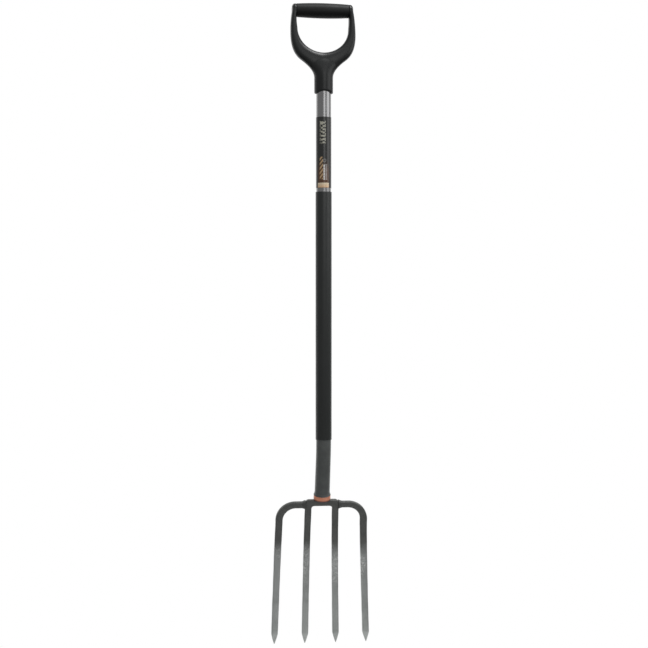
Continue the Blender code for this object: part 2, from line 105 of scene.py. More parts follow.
# Grip barrel and the handle's ears on either side of it.
GRIP_STATION = 1197.3 * MM
GRIP_RADIUS = 14.2 * MM
GRIP_END_RADIUS = 12.6 * MM
GRIP_HALF_LENGTH = 49.5 * MM
GRIP_EDGE = 0.5 * MM
GRIP_STEPS = 60
CORE_RADIUS = 7 * MM
CORE_HALF_LENGTH = 52.5 * MM

# Collar of the handle. Its arched rim fades to a level circle over COLLAR_FADE.
COLLAR_RADIUS = 17.65 * MM
COLLAR_RIM = 1036 * MM
COLLAR_RIM_RISE = 4.2 * MM
COLLAR_RIM_ROUND = 2.6 * MM
COLLAR_RIM_STEPS = 10
COLLAR_FADE = 29.2 * MM
COLLAR_FADE_STEPS = 12

# Arms of the handle, by knots of their outer edge: x, station and heading.
EAR_RADIUS = 12.6 * MM
EAR_CORNER = (5.2 * MM, 6.6 * MM)
EAR_STEPS = 14
ARM_EAR = (57.9 * MM, GRIP_STATION, math.radians(-80.5))
ARM_BULGE = (61.7 * MM, 1152 * MM, math.radians(-90))
ARM_WAIST = (42.2 * MM, 1099.6 * MM, math.radians(-142.6))
ARM_FOOT = (COLLAR_RADIUS, 1066.5 * MM, math.radians(-90))
ARM_PULLS = {"side": (12.2 * MM, 20 * MM), "bulge": (27 * MM, 16 * MM), "foot": (14 * MM, 13 * MM)}
ARM_STEPS = {"side": 26, "bulge": 34, "foot": 30}
ARM_HALF_DEPTH = 10 * MM
ARM_LOW_HALF_DEPTH = 11 * MM
JUNCTION_HALF_DEPTH = 11.5 * MM
ARM_SQUARENESS = 2.6
ARM_SIDES = 56
WEB_SPAN = (1066.5 * MM, 1112.4 * MM)
WEB_END = 0.985
WEB_ROUNDING = 6
WEB_INSET = 0.5 * MM
WEB_RINGS = 40
OPENING_BOTTOM = 1113.6 * MM
OPENING_MIDDLE = 1162 * MM
OPENING_HALF_WIDTH = 48.2 * MM
OPENING_EASE = 3
OPENING_TURNS = {"bulge": (0, math.radians(60)), "foot": (math.radians(60), math.radians(100))}
HANDLE_VOXEL = 0.6 * MM
HANDLE_SMOOTHING = 26

# Screw at the collar's back. Depths are from the tube's centreline.
SCREW_STATION = 1058 * MM
SCREW_SHANK_RADIUS = 2 * MM
SCREW_HEAD_RADIUS = 4 * MM
SCREW_POINT_RADIUS = 0.6 * MM
SCREW_TIP = 9 * MM
SCREW_HEAD_SEAT = 15.4 * MM
SCREW_CROWN = 17.45 * MM
SCREW_HEAD_RIM = 0.3
SCREW_HEAD_FULLNESS = 0.6
SCREW_HEAD_TURN = math.radians(84)
SCREW_HEAD_STEPS = 14
SCREW_SIDES = 64
SEAT_OVERRUN = 2 * MM
RECESS_WIDTH = 0.9 * MM
RECESS_REACH = 2.3 * MM
RECESS_FLOOR = 16.1 * MM
RECESS_OVERRUN = 1 * MM
RECESS_TAPER = (0.6, 1.15)
RECESS_TURNS = (math.radians(20), math.radians(110))

# Head.
BAR_HALF_DEPTH = 4.7 * MM
BAR_CORNER = 2.4 * MM
BAR_CORNER_STEPS = 7
MAX_CORNER_SHARE = 0.85
CROSS_TOP = 265.1 * MM
CROSS_HEIGHT = 12.4 * MM
CROSS_STEPS = 12
OUTER_CROSS_TOP = 261 * MM
OUTER_CROSS_HEIGHT = 12.1 * MM
INNER_TINE_X = (26.1 * MM, 30 * MM)
INNER_TINE_WIDTH = (12.4 * MM, 12.4 * MM)
BOW_OUTER_CORNER = 7.5 * MM
BOW_INNER_CORNER = 5.5 * MM
BOW_CORNER_STEPS = 24
BOW_ROOT_DROP = 11 * MM
OUTER_TINE_X = (81.4 * MM, 89.2 * MM)
OUTER_TINE_WIDTH = (13.6 * MM, 12.5 * MM)
OUTER_BEND_RADIUS = 31 * MM
OUTER_BEND_STEPS = 44
OUTER_ROOT_DROP = 6 * MM
TINE_THINNING = 0.12
TINE_STEPS = 90
TIP_LENGTH = 20 * MM
TIP_SIZE = 0.9 * MM
TIP_POWER = 1.25
TIP_NOSE = 0.96
TIP_NOSE_LOSS = 0.5
TIP_STEPS = 22
FORGE_WAVE = 0.07 * MM
FORGE_PITCHES = (7 * MM, 17 * MM)
FORGE_LEAST = 3 * MM

# Joints of the head. A tine's weld swells by WELD_SWELL at its root and ends WELD_LENGTH from there.
TANG_RADIUS = 12.2 * MM
RING_RADIUS = 16.1 * MM
RING_TOP_EDGE = 0.9 * MM
RING_LOW_EDGE = 2.2 * MM
WELD_SWELL = 2.6 * MM
WELD_LENGTH = 8 * MM
WELD_ROOT = 1 * MM
WELD_HOLLOW = 1.6
WELD_STEPS = 26
WELD_RIPPLE = 0.1 * MM
WELD_SCALLOPS = 10
WELD_TWIST = 2.2
WELD_PITCH = 2.1 * MM
TANG_WELD_LEG = 3.2 * MM
TANG_WELD_HALF_LENGTH = 9 * MM
TANG_WELD_END = 0.45
TANG_WELD_SQUARENESS = 6
TANG_WELD_FLATNESS = 0.8
TANG_WELD_RIPPLE = 0.05
TANG_WELD_STEPS = 46
TANG_WELD_ARC_STEPS = 8

# Finishes. Each pair of colours holds the two that a noise or an edge blends between.
HANDLE_BLACK = ((0.011, 0.0125, 0.013, 1), (0.0145, 0.0165, 0.0165, 1))
GRIP_BLACK = ((0.006, 0.007, 0.007, 1), (0.0085, 0.0095, 0.0095, 1))
SLEEVE_BLACK = ((0.01, 0.013, 0.0125, 1), (0.0135, 0.0165, 0.016, 1))
TUBE_SILVER = ((0.345, 0.345, 0.35, 1), (0.42, 0.42, 0.42, 1))
NECK_COATING = ((0.118, 0.127, 0.124, 1), (0.142, 0.152, 0.148, 1))
RING_ORANGE = ((0.9, 0.34, 0.2, 1), (0.95, 0.42, 0.27, 1))
# Painted shade: the darker, redder colour of the ring's lower edge where it stands in shadow.
RING_PAINTED_SHADE = (0.16, 0.035, 0.018, 1)
HEAD_COATING = ((0.115, 0.12, 0.115, 1), (0.15, 0.155, 0.148, 1))
GROUND_STEEL = ((0.5, 0.524, 0.512, 1), (0.39, 0.41, 0.4, 1))
STEEL_GLINT = (0.93, 0.94, 0.93, 1)
WELD_COATING = ((0.1, 0.104, 0.1, 1), (0.145, 0.15, 0.144, 1))
ZINC = ((0.55, 0.55, 0.53, 1), (0.4, 0.41, 0.4, 1))
FLAKE_SCALE = 2600.0
HANDLE_FINISH = {"rough": 0.34, "specular": 0.45, "grain_scale": 1500, "grain_depth": 0.05 * MM}
GRIP_FINISH = {"rough": 0.52, "specular": 0.32, "grain_scale": 1900, "grain_depth": 0.05 * MM}
SLEEVE_FINISH = {"rough": 0.38, "specular": 0.75, "grain_scale": 1700, "grain_depth": 0.04 * MM}

# Where finishes change, by station in millimetres.
DIP_FADE = (SLEEVE_SPAN[0] / MM + 8, SLEEVE_SPAN[0] / MM + 2)
# Stations over which the ring's lower edge turns to its painted shade.
RING_PAINTED_SHADE_FADE = (269.6, 266.2)
COATING_FADE = (184, 140)
COATING_WANDER = 34
COATING_FLECKS = 16
GLINT_FADE = (190, 165)
WORN_SPAN = (96, 166)
WORN_EDGE = 26

# Print on the label, in millimetres: spans across it from its middle line, and spans by station. A panel is
# one of each, and a beat is the pitch of a row of marks and the share of it that is printed. LABEL_TURN moves
# the print to the left of the tool's front.
LABEL_TURN = math.radians(2)
COLUMN_SPAN = (942, 984)
COLUMN_CAP = ((-8.2, -2.2), (978, 983))
LEFT_RAIL = (-8.4, -7.3)
RIGHT_RAIL = (1.5, 2.6)
RAIL_BEAT = (8.6, 0.72)
LEFT_BLOCKS = (-6.3, -2.6)
LEFT_BLOCK_BEAT = (7.4, 0.42)
RIGHT_BLOCKS = (-3.2, 0.7)
RIGHT_BLOCK_BEAT = (6.1, 0.5)
RIGHT_BLOCK_SHIFT = 3.4
GOLD_STRIP = ((-8.8, -2.5), (875, 917))
GOLD_SLANT = 1.3
GOLD_BEAT = (8.6, 0.56)
LONG_DASHES = ((-1.5, 1.0), (874, 903))
LONG_DASH_BEAT = (5.1, 0.9)
SHORT_DASHES = ((2.0, 5.4), (874, 903))
SHORT_DASH_BEAT = (2.3, 0.55)
CREST_CENTRE = (0.4, 910)
CREST_RADIUS = 2.6
CREST_LINE = 0.8
GLOW_SPAN = (-12.5, 9)
GLOW_EDGE = 3
GLOW_FADE = (915, 885)
BAND = ((-13.2, 9.2), (859.8, 868.6))
BAND_FADE = (860.5, 867.5)
BAND_ORANGE = ((0.95, 0.6, 0.34, 1), (1.0, 0.84, 0.6, 1))
FILM_TONES = ((0.018, 0.019, 0.018, 1), (0.12, 0.045, 0.016, 1))
PRINT_PALE = (0.62, 0.61, 0.5, 1)
PRINT_GOLD = (0.68, 0.46, 0.24, 1)
PRINT_WHITE = (0.95, 0.93, 0.9, 1)
GOLD_STRENGTH = 0.9
DASH_STRENGTH = 0.6
CREST_STRENGTH = 0.4

# Camera and studio. CAMERA_AIM is a distance to the camera's right of the shaft, and a height.
CAMERA_DISTANCE = 2.6
CAMERA_AZIMUTH = math.radians(-7)
CAMERA_HEIGHT = -0.5301
CAMERA_AIM = (0.7 * MM, -0.5776)
CAMERA_LENS = 76.63
CAMERA_SENSOR = 36
FLOOR_DROP = 0.105
FLOOR_RADIUS = 0.42
FLOOR_GREYS = (0.8, 0.84)

# Room round the tool: its brightness low down, level and overhead, where a direction's height takes it from
# one to the next, and how far back a direction points where the room turns white.
ROOM_LOW = 0.12
ROOM_MIDDLE = 0.28
ROOM_HIGH = 0.36
ROOM_DUSK = (-0.6, -0.2)
ROOM_DAWN = (0.0, 0.5)
ROOM_BACK = (0.25, 0.8)


def spine_curve():
    """Stations from low to high, and the centreline's y and z at each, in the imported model's place."""
    low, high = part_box("shaft_sleeve")
    stations = np.arange(TIP_STATION - SPINE_STEP, SPINE_TOP, SPINE_STEP)
    middle = lean(stations[:-1] + SPINE_STEP / 2)
    y = np.concatenate([[0], np.cumsum(-np.sin(middle) * SPINE_STEP)])
    z = np.concatenate([[0], np.cumsum(np.cos(middle) * SPINE_STEP)])
    shaft = np.searchsorted(stations, sum(SLEEVE_SPAN) / 2)
    drop = high.z - SLEEVE_SPAN[1]
    return stations, y - y[shaft] + (low.y + high.y) / 2, z - z[shaft] + stations[shaft] + drop


def lean(station):
    """Angle of the tool's downward direction from straight down, positive towards its back."""
    handle = np.clip((station - HANDLE_BEND[0]) / (HANDLE_BEND[1] - HANDLE_BEND[0]), 0, 1)
    neck = np.clip((NECK_BEND[1] - station) / (NECK_BEND[1] - NECK_BEND[0]), 0, 1)
    along_tine = np.clip((TINE_ROOT - station) / (TINE_ROOT - TIP_STATION), 0, 1)
    swept = (NECK_LEAN - TIP_LEAN) * (1 - (1 - along_tine) ** TINE_SWEEP_POWER)
    return neck * NECK_LEAN - swept - handle * HANDLE_LEAN


SPINE = spine_curve()


def bent(points):
    """Layout points moved to their place on the bent tool."""
    stations, spine_y, spine_z = SPINE
    x, depth, station = points.T
    angle = lean(station)
    y = np.interp(station, stations, spine_y) + depth * np.cos(angle)
    z = np.interp(station, stations, spine_z) + depth * np.sin(angle)
    return np.stack([x, y, z], axis=1)


def mesh_object(name, mesh):
    obj = bpy.data.objects.new(name, mesh)
    bpy.context.scene.collection.objects.link(obj)
    return obj


def skin(name, rings, loop=False):
    """A closed solid over rings of layout points. loop joins the last ring to the first, with no ends."""
    shape = bmesh.new()
    verts = [[shape.verts.new(point) for point in ring] for ring in rings]
    nexts = verts[1:] + verts[:1] if loop else verts[1:]
    for low, high in zip(verts, nexts):
        for i in range(len(low)):
            shape.faces.new((low[i - 1], low[i], high[i], high[i - 1]))
    if not loop:
        shape.faces.new(verts[0])
        shape.faces.new(verts[-1])
    bmesh.ops.recalc_face_normals(shape, faces=shape.faces)
    mesh = bpy.data.meshes.new(name)
    shape.to_mesh(mesh)
    shape.free()
    return mesh_object(name, mesh)


def settled(obj):
    """The object with its modifiers made real."""
    graph = bpy.context.evaluated_depsgraph_get()
    mesh = bpy.data.meshes.new_from_object(obj.evaluated_get(graph))
    obj.modifiers.clear()
    obj.data = mesh
    return obj


def finished(obj, look, slot, *nodes, smooth_angle=SMOOTH_ANGLE):
    """Bends a layout piece to its place, gives it its finish, and lets it stand for its CAD nodes."""
    mesh = obj.data
    points = np.empty(len(mesh.vertices) * 3, np.float32)
    mesh.vertices.foreach_get("co", points)
    layout = mesh.attributes.new(LAYOUT, "FLOAT_VECTOR", "POINT")
    layout.data.foreach_set("vector", points)
    mesh.vertices.foreach_set("co", bent(points.reshape(-1, 3).astype(float)).astype(np.float32).ravel())
    mesh.shade_smooth()
    mesh.set_sharp_from_angle(angle=smooth_angle)
    mesh.materials.clear()
    mesh.materials.append(look)
    mesh.update()
    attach(obj, "root")
    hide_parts(*nodes)
    return obj


def circle_angles(sides):
    return 2 * math.pi * np.arange(sides) / sides


def turned(profile, angles):
    """A copy of the (radius, station) profile at each angle about the tool's centreline."""
    return [[(r * math.cos(a), r * math.sin(a), station) for r, station in profile] for a in angles]


def level_rings(profile):
    angles = circle_angles(ROUND_SIDES)
    return [[(r * math.cos(a), r * math.sin(a), station) for a in angles] for r, station in profile]


def cross_rings(profile, sides):
    """Rings turned about the grip's axis, one for each (radius, x)."""
    angles = circle_angles(sides)
    return [[(x, r * math.cos(a), GRIP_STATION + r * math.sin(a)) for a in angles] for r, x in profile]


def screw_rings(profile):
    """Rings turned about the screw's axis, one for each (radius, depth)."""
    angles = circle_angles(SCREW_SIDES)
    return [
        [(r * math.cos(a), depth, SCREW_STATION + r * math.sin(a)) for a in angles]
        for r, depth in profile
    ]


def mirrored(rings):
    return [[(-x, depth, station) for x, depth, station in ring] for ring in rings]


def heading(angle):
    return np.array([math.cos(angle), math.sin(angle)])


def eased(t):
    """t from 0 to 1, slow at both ends."""
    return t * t * (3 - 2 * t)


def arc_point(centre, radius, angle):
    return np.array(centre) + radius * heading(angle)


def curve_between(start, end, pulls, t):
    """Point t of the way along a Bezier curve between two knots, each an x, a station and a heading."""
    first, last = np.array(start[:2]), np.array(end[:2])
    pull_a = first + pulls[0] * heading(start[2])
    pull_b = last - pulls[1] * heading(end[2])
    left = 1 - t
    return left**3 * first + 3 * left**2 * t * pull_a + 3 * left * t**2 * pull_b + t**3 * last


def rounded_edge(radius, edge, station, direction):
    """Profile points that round a tube's outer edge and end on its end face, which is at station."""
    centre = (radius - edge, station - direction * edge)
    angles = np.linspace(0, math.pi / 2, EDGE_STEPS)
    return [(centre[0] + edge * math.cos(a), centre[1] + direction * edge * math.sin(a)) for a in angles]


def sleeve_profile(bore, radius, low, high, low_edge, high_edge):
    """A tube's wall in section, with its two outer edges rounded."""
    top = [*reversed(rounded_edge(radius, high_edge, high, 1))]
    return [(bore, high), *top, *rounded_edge(radius, low_edge, low, -1), (bore, low)]


def rounded_power(value):
    return math.copysign(abs(value) ** (2 / ARM_SQUARENESS), value)


def arm_section(inner, outer, half_depth):
    """A superellipse that runs from the inner to the outer contour point."""
    inner, outer = np.array(inner), np.array(outer)
    ring = []
    for angle in circle_angles(ARM_SIDES):
        x, station = (inner + outer) / 2 + (outer - inner) / 2 * rounded_power(math.cos(angle))
        ring.append((x, half_depth * rounded_power(math.sin(angle)), station))
    return ring


def inner_contour(part, t):
    """The arm's edge on the hand opening: down its straight side, then round the opening's lower half."""
    if part == "side":
        ear_x = GRIP_HALF_LENGTH + GAP
        x = ear_x + t**OPENING_EASE * (OPENING_HALF_WIDTH - ear_x)
        return (x, GRIP_STATION + t * (OPENING_MIDDLE - GRIP_STATION))
    start, end = OPENING_TURNS[part]
    across, down = heading(start + t * (end - start))
    return (OPENING_HALF_WIDTH * across, OPENING_MIDDLE - (OPENING_MIDDLE - OPENING_BOTTOM) * down)


def outer_contour(part, t):
    """The arm's outer edge: the swelling side, and the S-curve down to the collar."""
    ends = {"side": (ARM_EAR, ARM_BULGE), "bulge": (ARM_BULGE, ARM_WAIST), "foot": (ARM_WAIST, ARM_FOOT)}
    return curve_between(*ends[part], ARM_PULLS[part], t)


def arm_half_depth(part, t):
    ends = {
        "side": (EAR_RADIUS, ARM_HALF_DEPTH),
        "bulge": (ARM_HALF_DEPTH, ARM_LOW_HALF_DEPTH),
        "foot": (ARM_LOW_HALF_DEPTH, JUNCTION_HALF_DEPTH),
    }
    return ends[part][0] + (ends[part][1] - ends[part][0]) * eased(t)


def ear_rings():
    """The round end of the right arm, turned about the grip's axis, with a rounded outer edge."""
    across, down = EAR_CORNER
    profile = [(EAR_RADIUS, GRIP_HALF_LENGTH + GAP)]
    for turn in np.linspace(0, math.pi / 2, EAR_STEPS):
        radius = EAR_RADIUS - down * (1 - math.cos(turn))
        profile.append((radius, ARM_EAR[0] - across * (1 - math.sin(turn))))
    return cross_rings(profile, ROUND_SIDES)


def web_rings():
    """Level sections that flow from the round collar out into both arms, and round over under the opening."""
    edge = [outer_contour(part, t) for part in ("foot", "bulge") for t in np.linspace(1, 0, WEB_RINGS)]
    edge_x, edge_station = zip(*edge)
    angles = circle_angles(ROUND_SIDES)
    rings = []
    for t in np.linspace(0, WEB_END, WEB_RINGS)[1:]:
        station = WEB_SPAN[0] + t * (WEB_SPAN[1] - WEB_SPAN[0])
        half_width = np.interp(station, edge_station, edge_x) - WEB_INSET * eased(t)
        thick = COLLAR_RADIUS + (ARM_LOW_HALF_DEPTH - COLLAR_RADIUS) * eased(t)
        half_depth = thick * math.sqrt(1 - t**WEB_ROUNDING)
        rings.append([(half_width * math.cos(a), half_depth * math.sin(a), station) for a in angles])
    return rings


def arm_rings():
    """The right arm from its ear to past the tool's middle, where it meets the other arm."""
    rings = []
    for part, steps in ARM_STEPS.items():
        last = steps + 1 if part == "foot" else steps
        for t in np.arange(last) / steps:
            inner, outer = inner_contour(part, t), outer_contour(part, t)
            rings.append(arm_section(inner, outer, arm_half_depth(part, t)))
    return rings


def rim_ring(radius, height, arch):
    """A ring of the collar's lower rim, which arches up at the front and the back."""
    ring = []
    for angle in circle_angles(ROUND_SIDES):
        rise = arch * COLLAR_RIM_RISE * math.sin(angle) ** 2
        ring.append((radius * math.cos(angle), radius * math.sin(angle), COLLAR_RIM + height + rise))
    return ring


def collar_rings():
    """From the top of the tube's bore down to the arched rim, then up the outside and into the web."""
    bore = TUBE_RADIUS + GAP
    rings = level_rings([(bore / 2, TUBE_TOP + GAP), (bore, TUBE_TOP + GAP)])
    rings.append(rim_ring(bore, 0, 1))
    for turn in np.linspace(0, math.pi / 2, COLLAR_RIM_STEPS):
        across, up = COLLAR_RIM_ROUND * (1 - math.sin(turn)), COLLAR_RIM_ROUND * (1 - math.cos(turn))
        rings.append(rim_ring(COLLAR_RADIUS - across, up, 1))
    for arch in np.linspace(1, 0, COLLAR_FADE_STEPS)[1:]:
        rings.append(rim_ring(COLLAR_RADIUS, COLLAR_RIM_ROUND + (1 - arch) * COLLAR_FADE, arch))
    return rings + web_rings()


def joined(parts):
    """One object that holds the shells of them all."""
    shape = bmesh.new()
    for part in parts:
        shape.from_mesh(part.data)
    mesh = bpy.data.meshes.new(parts[0].name)
    shape.to_mesh(mesh)
    shape.free()
    name = parts[0].name
    for part in parts:
        bpy.data.objects.remove(part)
    return mesh_object(name, mesh)


def cut(obj, tool):
    modifier = obj.modifiers.new("cut", "BOOLEAN")
    modifier.operation = "DIFFERENCE"
    modifier.object = tool
    modifier.solver = "EXACT"
    settled(obj)
    bpy.data.objects.remove(tool)
    return obj


def handle():
    """The D-handle's arms, collar and core bar as one moulding with soft inside corners."""
    parts = [skin("handle", collar_rings())]
    for rings in (arm_rings(), ear_rings()):
        parts += [skin("arm", rings), skin("arm", mirrored(rings))]
    core = [(CORE_RADIUS, -CORE_HALF_LENGTH), (CORE_RADIUS, CORE_HALF_LENGTH)]
    parts.append(skin("core", cross_rings(core, SCREW_SIDES)))
    body = joined(parts)
    remesh = body.modifiers.new("mould", "REMESH")
    remesh.mode = "VOXEL"
    remesh.voxel_size = HANDLE_VOXEL
    smooth = body.modifiers.new("soften", "SMOOTH")
    smooth.factor = 0.5
    smooth.iterations = HANDLE_SMOOTHING
    settled(body)
    seat_radius = SCREW_HEAD_RADIUS + GAP
    seat = [(seat_radius, SCREW_HEAD_SEAT - GAP), (seat_radius, COLLAR_RADIUS + SEAT_OVERRUN)]
    return cut(body, skin("seat", screw_rings(seat)))


def grip():
    """The barrel, with rounded ends and thickest at its middle."""
    straight = GRIP_HALF_LENGTH - GRIP_EDGE
    end = rounded_edge(GRIP_END_RADIUS, GRIP_EDGE, GRIP_HALF_LENGTH, 1)
    profile = [*reversed(end)]
    for x in np.linspace(straight, -straight, GRIP_STEPS)[1:-1]:
        profile.append((GRIP_RADIUS - (GRIP_RADIUS - GRIP_END_RADIUS) * (x / straight) ** 2, x))
    profile += [(radius, -x) for radius, x in end]
    bore = CORE_RADIUS + GAP
    profile += [(bore, -GRIP_HALF_LENGTH), (bore, GRIP_HALF_LENGTH)]
    return skin("grip", list(zip(*cross_rings(profile, ROUND_SIDES))), loop=True)


def recess_arm(name, turn):
    """One bar of the screw's cross recess, narrower towards its floor."""
    rings = []
    for depth, size in zip((RECESS_FLOOR, SCREW_CROWN + RECESS_OVERRUN), RECESS_TAPER):
        across, reach = RECESS_WIDTH / 2 * size, RECESS_REACH * size
        ring = []
        for u, v in ((across, reach), (-across, reach), (-across, -reach), (across, -reach)):
            x = u * math.cos(turn) - v * math.sin(turn)
            ring.append((x, depth, SCREW_STATION + u * math.sin(turn) + v * math.cos(turn)))
        rings.append(ring)
    return skin(name, rings)


def screw():
    """Pan-head screw with a cross recess."""
    shank, head, seat = SCREW_SHANK_RADIUS, SCREW_HEAD_RADIUS, SCREW_HEAD_SEAT
    profile = [(SCREW_POINT_RADIUS, SCREW_TIP), (shank, SCREW_TIP + shank), (shank, seat), (head, seat)]
    for angle in np.linspace(0, SCREW_HEAD_TURN, SCREW_HEAD_STEPS):
        rise = SCREW_HEAD_RIM + (1 - SCREW_HEAD_RIM) * math.sin(angle)
        radius = head * math.cos(angle) ** SCREW_HEAD_FULLNESS
        profile.append((radius, seat + (SCREW_CROWN - seat) * rise))
    body = skin("screw", screw_rings(profile))
    for turn in RECESS_TURNS:
        cut(body, recess_arm("recess", turn))
    return body


def tube():
    """The painted tube: straight from the handle, bent back at the neck, and flared to a rolled lip."""
    stations = np.linspace(NECK_BEND[1], NECK_BEND[0], NECK_STEPS)
    outer = [(TUBE_RADIUS, station) for station in (TUBE_TOP, *stations)]
    for t in np.linspace(0, 1, FLARE_STEPS)[:-2]:
        radius = NECK_RADIUS + (FLARE_RADIUS - NECK_RADIUS) * t**2
        outer.append((radius, TUBE_END + FLARE_LENGTH * (1 - t)))
    outer += rounded_edge(FLARE_RADIUS, FLARE_LIP, TUBE_END, -1)
    bore = TUBE_RADIUS - TUBE_WALL
    inner = [(bore, station) for station in (TUBE_END, *reversed(stations), TUBE_TOP)]
    return skin("tube", turned(outer + inner, circle_angles(ROUND_SIDES)), loop=True)


def label():
    """The film round the tube, open along a seam at the back."""
    inner = TUBE_RADIUS + GAP
    outer = inner + LABEL_THICKNESS
    low, high = LABEL_SPAN
    profile = [(inner, high), (outer, high), (outer, low), (inner, low)]
    start = TOOL_BACK + LABEL_SEAM / 2
    angles = np.linspace(start, start + 2 * math.pi - LABEL_SEAM, ROUND_SIDES + 1)
    return skin("label", turned(profile, angles))


def sleeve():
    profile = sleeve_profile(TUBE_RADIUS + GAP, SLEEVE_RADIUS, *SLEEVE_SPAN, SLEEVE_EDGE, SLEEVE_EDGE)
    return skin("sleeve", turned(profile, circle_angles(ROUND_SIDES)), loop=True)


def ring():
    low, high = CROSS_TOP + GAP, TUBE_END - GAP
    profile = sleeve_profile(TANG_RADIUS + GAP, RING_RADIUS, low, high, RING_LOW_EDGE, RING_TOP_EDGE)
    return skin("ring", turned(profile, circle_angles(ROUND_SIDES)), loop=True)


def forged(u, station, phase):
    """The slight waviness that drawing a bar out under a hammer leaves."""
    short_pitch, long_pitch = FORGE_PITCHES
    short_wave = math.sin(station / short_pitch + phase)
    long_wave = math.sin(station / long_pitch + 2 * u + phase)
    return FORGE_WAVE * (short_wave + long_wave)


def bar_section(inner, outer, half_depth, corner, phase=0.0):
    """A rounded rectangle that runs from the inner to the outer contour point, half_depth each way."""
    inner, outer = np.array(inner), np.array(outer)
    half_width = float(np.linalg.norm(outer - inner)) / 2
    along = (outer - inner) / (2 * half_width)
    corner = min(corner, MAX_CORNER_SHARE * half_width, MAX_CORNER_SHARE * half_depth)
    ring = []
    for quarter, (side_u, side_v) in enumerate([(1, 1), (-1, 1), (-1, -1), (1, -1)]):
        for turn in np.linspace(0, math.pi / 2, BAR_CORNER_STEPS):
            angle = quarter * math.pi / 2 + turn
            wave = forged(angle, inner[1], phase) if half_depth > FORGE_LEAST else 0
            u = side_u * (half_width - corner) + (corner + wave) * math.cos(angle)
            v = side_v * (half_depth - corner) + (corner + wave) * math.sin(angle)
            x, station = (inner + outer) / 2 + along * u
            ring.append((x, v, station))
    return ring


def tine_sections(x_pair, width_pair, root):
    """Sections of a tine from its root to its point. Each pair holds a value at the root and at the point."""
    shoulder = TIP_STATION + TIP_LENGTH
    sizes = [(station, 1) for station in np.linspace(root, shoulder, TINE_STEPS)]
    for t in np.linspace(0, 1, TIP_STEPS)[1:]:
        nose = 1 - TIP_NOSE_LOSS * max(0, (t - TIP_NOSE) / (1 - TIP_NOSE)) ** 2
        taper = 1 - (1 - TIP_SIZE / width_pair[1]) * t**TIP_POWER
        sizes.append((shoulder - t * TIP_LENGTH, nose * taper))
    sections = []
    for station, size in sizes:
        down = (root - station) / (root - TIP_STATION)
        x = x_pair[0] + down * (x_pair[1] - x_pair[0])
        half = size * (width_pair[0] + down * (width_pair[1] - width_pair[0])) / 2
        half_depth = size * BAR_HALF_DEPTH * (1 - TINE_THINNING * down)
        sections.append(((x - half, station), (x + half, station), half_depth))
    return sections


def bow_sections():
    """Half of the inner bow: the middle of the crosspiece, its forged corner, and one inner tine."""
    half_width = INNER_TINE_WIDTH[0] / 2
    inner_x, outer_x = INNER_TINE_X[0] - half_width, INNER_TINE_X[0] + half_width
    underside = CROSS_TOP - CROSS_HEIGHT
    inner_centre = (inner_x - BOW_INNER_CORNER, underside - BOW_INNER_CORNER)
    outer_centre = (outer_x - BOW_OUTER_CORNER, CROSS_TOP - BOW_OUTER_CORNER)
    sections = []
    for x in np.linspace(0, inner_centre[0], CROSS_STEPS)[:-1]:
        sections.append(((x, underside), (x, CROSS_TOP), BAR_HALF_DEPTH))
    for angle in np.linspace(math.pi / 2, 0, BOW_CORNER_STEPS):
        inner = arc_point(inner_centre, BOW_INNER_CORNER, angle)
        outer = arc_point(outer_centre, BOW_OUTER_CORNER, angle)
        sections.append((inner, outer, BAR_HALF_DEPTH))
    return sections + tine_sections(INNER_TINE_X, INNER_TINE_WIDTH, underside - BOW_ROOT_DROP)


def weld_start():
    """x where the outer bar's end faces the inner bow."""
    return INNER_TINE_X[0] + INNER_TINE_WIDTH[0] / 2 + GAP


def outer_sections():
    """One outer tine: its arm of the crosspiece from the weld, the bend, and the tine."""
    middle = OUTER_CROSS_TOP - OUTER_CROSS_HEIGHT / 2
    centre = (OUTER_TINE_X[0] - OUTER_BEND_RADIUS, middle - OUTER_BEND_RADIUS)
    half = OUTER_CROSS_HEIGHT / 2
    sections = []
    for x in np.linspace(weld_start(), centre[0], CROSS_STEPS)[:-1]:
        sections.append(((x, middle - half), (x, middle + half), BAR_HALF_DEPTH))
    for t in np.linspace(0, 1, OUTER_BEND_STEPS):
        half = (OUTER_CROSS_HEIGHT + t * (OUTER_TINE_WIDTH[0] - OUTER_CROSS_HEIGHT)) / 2
        inner = arc_point(centre, OUTER_BEND_RADIUS - half, (1 - t) * math.pi / 2)
        outer = arc_point(centre, OUTER_BEND_RADIUS + half, (1 - t) * math.pi / 2)
        sections.append((inner, outer, BAR_HALF_DEPTH))
    return sections + tine_sections(OUTER_TINE_X, OUTER_TINE_WIDTH, centre[1] - OUTER_ROOT_DROP)


def bow():
    half = [bar_section(*section, BAR_CORNER) for section in bow_sections()]
    return skin("bow", mirrored(reversed(half[1:])) + half)


def outer_tine(name, side):
    rings = [bar_section(*section, BAR_CORNER, phase=side) for section in outer_sections()]
    return skin(name, rings if side > 0 else mirrored(rings))


def tine_weld(name, side):
    """A rippled fillet round the outer bar, where it butts against the inner bow."""
    middle = OUTER_CROSS_TOP - OUTER_CROSS_HEIGHT / 2
    start = weld_start() - WELD_ROOT
    loops = []
    for t in np.linspace(0, 1, WELD_STEPS):
        loops.append(weld_ring(start + t * WELD_LENGTH, middle, WELD_SWELL * (1 - t) ** WELD_HOLLOW, t))
    for x in (start + WELD_LENGTH, start):
        loops.append(weld_ring(x, middle, -WELD_ROOT, 0))
    return skin(name, loops if side > 0 else mirrored(loops), loop=True)


